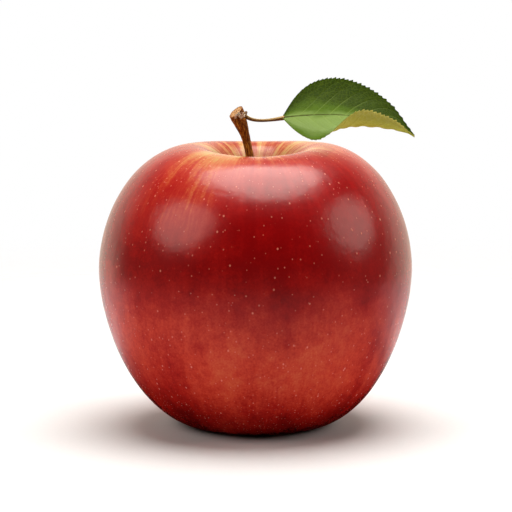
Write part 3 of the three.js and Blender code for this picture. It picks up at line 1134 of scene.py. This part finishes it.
def leaf_material():
    material, tree = new_material("leaf_green")
    side_vein = attribute(tree, "side_vein")
    rib = attribute(tree, "rib")
    below = attribute(tree, "underside").ease(0.3, 0.7)
    flat_place = attribute(tree, "flat_place", "Vector")
    clouds = tree.noise(flat_place, 160.0, 3.0)
    cell = tree.node(
        "ShaderNodeTexVoronoi", {"feature": "DISTANCE_TO_EDGE"}, {"Vector": flat_place, "Scale": 950.0}
    )
    net = 1 - cell.ease(0.02, 0.16)
    grit = tree.noise(flat_place, 4200.0, 2.0)
    lengthwise, side, _ = tree.parts(flat_place)
    lengthwise = lengthwise / leaf_length
    side = side / BLADE_HALF_WIDTH
    # The pale greens of this ramp, near the stalk and on the near half, are a painted sheen that fades to
    # deep green towards the far edge and tip.
    painted_sheen_fade = (lengthwise * 0.42 - 0.14) * side.ease(-0.2, 0.6)
    upper = tree.ramp(side * 0.5 + 0.5 + painted_sheen_fade + (clouds - 0.5) * 0.30, [
        (0.04, srgb(58, 88, 10)),
        (0.22, srgb(110, 134, 78)),
        (0.46, srgb(112, 138, 74)),
        (0.60, srgb(54, 84, 12)),
        (0.76, srgb(20, 46, 0)),
    ])
    upper = tree.blend(net * 0.20 + (grit - 0.5) * 0.8, upper, srgb(92, 118, 30))
    upper = tree.blend(side_vein.ease(0.35, 0.95) * 0.4, upper, srgb(118, 140, 66))
    upper = tree.blend(rib.ease(0.3, 0.7) * 0.9, upper, srgb(36, 34, 8))
    under = tree.blend(clouds, srgb(162, 152, 66), srgb(178, 166, 84))
    under = tree.blend(net * 0.25 + (grit - 0.5) * 0.3, under, srgb(186, 178, 116))
    under = tree.blend(side_vein.ease(0.15, 0.9) * 0.7, under, srgb(190, 178, 112))
    under = tree.blend(rib.ease(0.2, 0.7) * 0.8, under, srgb(186, 168, 104))
    colour = tree.blend(below, upper, under)
    relief = bump(tree, net, -0.00002)
    relief = bump(tree, grit, 0.000015, relief)
    surface = coated(tree, colour, 0.44 + below * 0.2 + grit * 0.1, relief, 0.03)
    glow = tree.node("ShaderNodeBsdfTranslucent", None, {"Color": LEAF_GLOW_COLOUR, "Normal": relief})
    finish_material(tree, tree.node("ShaderNodeMixShader", None, {0: LET_THROUGH, 1: surface, 2: glow}))
    return material


leaf.data.materials.append(leaf_material())
# A leaf so near the glossy skin would blacken the shoulder below it, so it throws no shadow there
# and isn't mirrored in it.
leaf.visible_shadow = False
leaf.visible_glossy = False
stand_for(leaf, "leaf", "leaf_blade")

# %% [markdown]
# ## Dry scales and the bud
#
# Where the petiole leaves the stalk's head, a few papery bud scales have dried and torn, and one
# small bud sits at the top. Each scale is the same wrapped route, flattened, and Geometry Nodes
# sets a handful of them round the head, each turned and sized a little differently.


# %% Dry material
def dry_material(name, dark, light):
    """A dull, fibrous finish for dried plant parts, between two colours."""
    material, tree = new_material(name)
    g_across, g_over, g_along = tree.parts(attribute(tree, "grain", "Vector"))
    fibres = tree.noise(tree.join(g_across * 2, g_over * 2, g_along * 1.5), 4.0, 4.0)
    place = tree.node("ShaderNodeTexCoord").output("Object")
    mottle = tree.noise(place, 1800.0, 3.0)
    colour = tree.ramp((fibres + mottle) / 2, [(0.35, dark), (0.62, light)])
    finish_material(tree, coated(tree, colour, 0.7 + mottle * 0.2, bump(tree, fibres, 0.0001)))
    return material


dry_scale = dry_material("dry_scale_paper", srgb(150, 116, 84), srgb(236, 222, 200))
dry_calyx = dry_material("dry_calyx_brown", srgb(44, 28, 14), srgb(122, 92, 54))
bud_brown = dry_material("bud_brown_felt", srgb(84, 54, 30), srgb(160, 124, 84))
print("three dry finishes are ready")

# %% Scales round the stalk's head
SCALE_POINTS = (
    (0.0, 0.0, -0.0007),
    (0.0, -0.0001, -0.0002),
    (0.0, -0.0005, 0.0003),
    (0.0003, -0.0005, 0.0011),
)
SCALE_SIZES = {
    **route_sizes(16, 40, SCALE_POINTS),
    "Count": 7,
    "Seed": 4,
    "Head Middle": inside("stem", 0.26, 0.52, 0.9),
    "Head Radius": 0.0495 * half_width,
    "Half Width": 0.0095 * half_width,
    "Thickness": 0.0022 * half_width,
}
FIRST_SCALE = math.radians(-105)
LAST_SCALE = math.radians(-8)


def scale_width(tree, size, share, turn):
    """A flat slip with a torn edge."""
    slip = ((share * 0.8 + 0.12) * math.pi).math("SINE") ** 0.8
    torn = (turn + share * 9).math("SINE") * 0.15 + 1
    return size["Half Width"] * slip * torn, size["Thickness"]


def scales_tree():
    tree, size = geometry_tree("dry_scales", SCALE_SIZES)
    scale = wrap_route(tree, size, scale_width)
    number = tree.node("GeometryNodeInputIndex")
    turn = FIRST_SCALE + (LAST_SCALE - FIRST_SCALE) * number / (size["Count"] - 1)
    seed = size["Seed"]
    ring = tree.join(
        turn.math("COSINE") * size["Head Radius"],
        turn.math("SINE") * size["Head Radius"],
        chance(tree, -0.0006, 0.0005, seed + 1),
    )
    place = tree.vector("ADD", ring, size["Head Middle"])
    nod, roll = chance(tree, -0.5, 0.3, seed + 2), chance(tree, -0.7, 0.7, seed + 3)
    tilt = tree.join(nod, roll, turn + math.pi / 2)
    scales = copies(tree, scale, size["Count"], place, tilt, chance(tree, 0.6, 1.1, seed + 5))
    close_tree(tree, scales, dry_scale)
    return tree


scales = grow("bud_scales", scales_tree(), SCALE_SIZES)
stand_for(scales, "dry_scale", "bud_scale_1", "bud_scale_2", "bud_scale_3")

# %% Bud
BUD_POINTS = (
    inside("bud", -0.1, 0.3, -0.9),
    inside("bud", 0.25, 0.4, -0.3),
    inside("bud", 0.5, 0.5, 0.3),
    inside("bud", 0.5, 0.5, 0.3),
)
BUD_SIZES = {**route_sizes(28, 40, BUD_POINTS), "Radius": 0.0095 * half_width}
LEAST_RADIUS = 0.00003


def bud_width(tree, size, share, turn):
    """A small egg with five shallow folds."""
    ball = (share * (1 - share) * 4) ** 0.5
    folds = (turn * 5 + share * 6).math("COSINE") * 0.07 + 1
    radius = size["Radius"] * ball * folds + LEAST_RADIUS
    return radius, radius


bud = grow_wrapped("side_bud", BUD_SIZES, bud_width, bud_brown)
stand_for(bud, "bud_brown", "bud")

# %% [markdown]
# ## The calyx
#
# Under the fruit, in the basin, the flower's five sepals have dried and turned their tips out, and
# the withered stamens stand between them as a tuft. The apple rests on the ring round the basin, so
# none of this touches the floor. One sepal and one stamen are made, and repeated round the mouth.

# %% Sepals
SEPAL_POINTS = (
    (0.0021, 0.0, 0.0082),
    (0.0024, 0.0, 0.0064),
    (0.0036, 0.0, 0.0048),
    (0.0054, 0.0, 0.0044),
)
SEPAL_SIZES = {
    **route_sizes(24, 60, SEPAL_POINTS, (1.0, 0.0, 0.0)),
    "Count": 5,
    "Seed": 11,
    "Half Width": 0.00125,
    "Thickness": 0.00018,
}
LEAST_SEPAL = 0.00012


def sepal_width(tree, size, share, turn):
    """Broad at the foot, narrowing to a point, with crumpled edges."""
    narrowing = 1 - share ** 1.6
    crumple = (share * 14 + turn * 2).math("SINE") * 0.12 + 1
    across = (size["Half Width"] * narrowing * crumple).math("MAXIMUM", LEAST_SEPAL)
    return across, size["Thickness"]


def sepals_tree():
    tree, size = geometry_tree("calyx_sepals", SEPAL_SIZES)
    sepal = wrap_route(tree, size, sepal_width)
    number = tree.node("GeometryNodeInputIndex")
    turn = number * (math.tau / SEPAL_SIZES["Count"]) + RIB_TURN
    sway = chance(tree, -0.08, 0.08, size["Seed"])
    sepals = copies(tree, sepal, size["Count"], (0.0, 0.0, 0.0), tree.join(0.0, 0.0, turn + sway))
    close_tree(tree, sepals, dry_calyx)
    return tree


sepals = grow("calyx_sepals", sepals_tree(), SEPAL_SIZES)
stand_for(sepals, "dry_calyx", *(f"sepal_{number}" for number in range(1, 6)))

# %% Stamens
STAMEN_POINTS = (
    (0.0, 0.0, 0.0),
    (0.0, 0.0, -0.0012),
    (0.0004, 0.0, -0.0026),
    (0.0001, 0.0, -0.0037),
)
STAMEN_SIZES = {
    **route_sizes(8, 26, STAMEN_POINTS),
    "Count": 20,
    "Seed": 23,
    "Radius": 0.00011,
    "Tuft Radius": 0.0008,
    "Top": inside("stamen_tuft", 0.5, 0.5, 1.0).z,
}
STAMEN_CAPS = (0.04, 0.08)
GOLDEN_TURN = math.pi * (3 - math.sqrt(5))


def stamen_width(tree, size, share, turn):
    """A thread with a small knob, the anther, near its tip."""
    anther = share.ease(0.82, 0.9) * (1 - share.ease(0.94, 1.0))
    radius = size["Radius"] * (1 + anther * 1.4)
    return radius, radius


def stamens_tree():
    tree, size = geometry_tree("calyx_stamens", STAMEN_SIZES)
    stamen = wrap_route(tree, size, stamen_width, STAMEN_CAPS)
    number = tree.node("GeometryNodeInputIndex")
    turn = number * GOLDEN_TURN
    reach = size["Tuft Radius"] * ((number + 0.5) / size["Count"]) ** 0.5
    place = tree.join(turn.math("COSINE") * reach, turn.math("SINE") * reach, size["Top"])
    seed = size["Seed"]
    sway = tree.join(chance(tree, -0.16, 0.16, seed + 1), chance(tree, -0.16, 0.16, seed + 2), turn)
    stamens = copies(tree, stamen, size["Count"], place, sway, chance(tree, 0.7, 1.0, seed + 3))
    close_tree(tree, stamens, dry_calyx)
    return tree


stamens = grow("calyx_stamens", stamens_tree(), STAMEN_SIZES)
stand_for(stamens, "dry_calyx", "stamen_tuft")

# %% [markdown]
# ## The studio
#
# The floor is a wide pale sheet. It fades out with distance into a background of the same white, so
# that no horizon shows from any side. Fruit skin looks like what it mirrors, so the lights are laid
# out as a fruit picture is lit: a large soft box overhead and a little behind, a soft panel on each
# side, and a bright surround that turns dark behind the camera, which keeps the front deep red. The
# glossy skin mirrors a dimmer floor than the camera sees, or its whole lower half would turn milky.

# %% Floor
FLOOR_HALF_WIDTH = 40 * fruit_width
FADE_START = 1.2 * fruit_width
FADE_END = 4.5 * fruit_width
MIRRORED_FRONT = 0.18
MIRRORED_BACK = 1.0
BACKDROP_COLOUR = (1.0, 1.0, 1.0, 1.0)


def floor_material():
    material, tree = new_material("studio_floor")
    place = tree.node("ShaderNodeTexCoord").output("Object")
    away = tree.vector("LENGTH", place).output("Value")
    paper = tree.noise(place, 900.0, 3.0)
    colour = tree.blend(paper, srgb(206, 209, 214), srgb(211, 214, 219))
    surface = coated(tree, colour, 0.75, bump(tree, paper, 0.00003))
    behind = tree.parts(place)[1].ease(-0.3 * fruit_width, 0.8 * fruit_width)
    level = MIRRORED_FRONT + behind * (MIRRORED_BACK - MIRRORED_FRONT)
    level = level * away.ease(0.4 * fruit_width, 1.2 * fruit_width)
    dim = tree.node("ShaderNodeEmission", None, {"Color": BACKDROP_COLOUR, "Strength": level})
    path = tree.node("ShaderNodeLightPath")
    is_mirrored = path.output("Is Glossy Ray")
    is_bounced = path.output("Is Diffuse Ray")
    sheet = tree.node("ShaderNodeMixShader", None, {0: is_mirrored, 1: surface, 2: dim})
    clear = tree.node("ShaderNodeBsdfTransparent")
    fade = away.ease(FADE_START, FADE_END) * (1 - is_bounced)
    finish_material(tree, tree.node("ShaderNodeMixShader", None, {0: fade, 1: sheet, 2: clear}))
    return material


floor_mesh = bpy.data.meshes.new("studio_floor")
corner = FLOOR_HALF_WIDTH
floor_corners = [(-corner, -corner, 0), (corner, -corner, 0), (corner, corner, 0), (-corner, corner, 0)]
floor_mesh.from_pydata(floor_corners, [], [(0, 1, 2, 3)])
floor_mesh.materials.append(floor_material())
studio_floor = add_object("studio_floor", floor_mesh)
print("floor half width, m:", round(FLOOR_HALF_WIDTH, 2))

# %% Surround
BACK_LEVEL = 1.15
HIGH_SHARE = 0.35
SIDE_LEVEL = 0.12
FRONT_LEVEL = 0.03
BACK_COLOUR = (1.0, 0.90, 0.74, 1.0)


def build_surround():
    world = bpy.data.worlds.new("studio_surround")
    world.use_nodes = True
    world.node_tree.nodes.clear()
    tree = Tree(world.node_tree)
    direction = tree.node("ShaderNodeTexCoord").output("Generated")
    _, y, z = tree.parts(direction)
    level = FRONT_LEVEL + y.ease(-0.8, -0.2) * (SIDE_LEVEL - FRONT_LEVEL)
    level = level + y.ease(0.3, 0.7) * (BACK_LEVEL - SIDE_LEVEL)
    level = level * (1 - z.ease(0.3, 0.65) * (1 - HIGH_SHARE))
    studio = tree.node("ShaderNodeBackground", None, {"Color": BACK_COLOUR, "Strength": level})
    seen = tree.node("ShaderNodeBackground", None, {"Color": BACKDROP_COLOUR, "Strength": 1.0})
    is_seen = tree.node("ShaderNodeLightPath").output("Is Camera Ray")
    both = tree.node("ShaderNodeMixShader", None, {0: is_seen, 1: studio, 2: seen})
    tree.node("ShaderNodeOutputWorld", None, {"Surface": both})
    bpy.context.scene.world = world


build_surround()
print("surround is lit")


# %% Lights
def soft_light(name, centre, width, height, radiance, colour):
    """A soft oval light that faces the apple, with the power of a box of this size and radiance."""
    light = bpy.data.lights.new(name, "AREA")
    light.shape = "ELLIPSE"
    light.size = width
    light.size_y = height
    light.energy = radiance * math.pi * width * height
    light.color = colour
    lamp = add_object(name, light)
    lamp.location = centre
    towards = Vector((0, 0, fruit_height / 2)) - lamp.location
    lamp.rotation_euler = towards.to_track_quat("-Z", "Y").to_euler()
    lamp.visible_camera = False
    print(name, "gives", round(light.energy, 2), "W")
    return lamp


BOX_COLOUR = (1.0, 0.96, 0.89)
BOX_HEIGHT = 7.3 * fruit_width
BOX_WIDTH = 0.96 * BOX_HEIGHT
BOX_DEPTH = 0.88 * BOX_HEIGHT
BOX_RADIANCE = 6.9
PANEL_COLOUR = (1.0, 0.84, 0.75)
PANEL_DISTANCE = 14.6 * fruit_width
PANEL_HEIGHT = 0.60 * PANEL_DISTANCE
LEFT_WIDTH = 0.72 * PANEL_DISTANCE
RIGHT_WIDTH = 0.86 * LEFT_WIDTH
LEFT_RADIANCE = 2.8
RIGHT_RADIANCE = 2.7
box_centre = Vector((0.05, 0.10, 1.0)) * BOX_HEIGHT
left_centre = Vector((-0.73, -0.29, 0.62)).normalized() * PANEL_DISTANCE
right_centre = Vector((0.85, -0.06, 0.50)).normalized() * PANEL_DISTANCE
soft_light("overhead_box", box_centre, BOX_WIDTH, BOX_DEPTH, BOX_RADIANCE, BOX_COLOUR)
soft_light("left_panel", left_centre, LEFT_WIDTH, PANEL_HEIGHT, LEFT_RADIANCE, PANEL_COLOUR)
soft_light("right_panel", right_centre, RIGHT_WIDTH, PANEL_HEIGHT, RIGHT_RADIANCE, PANEL_COLOUR)
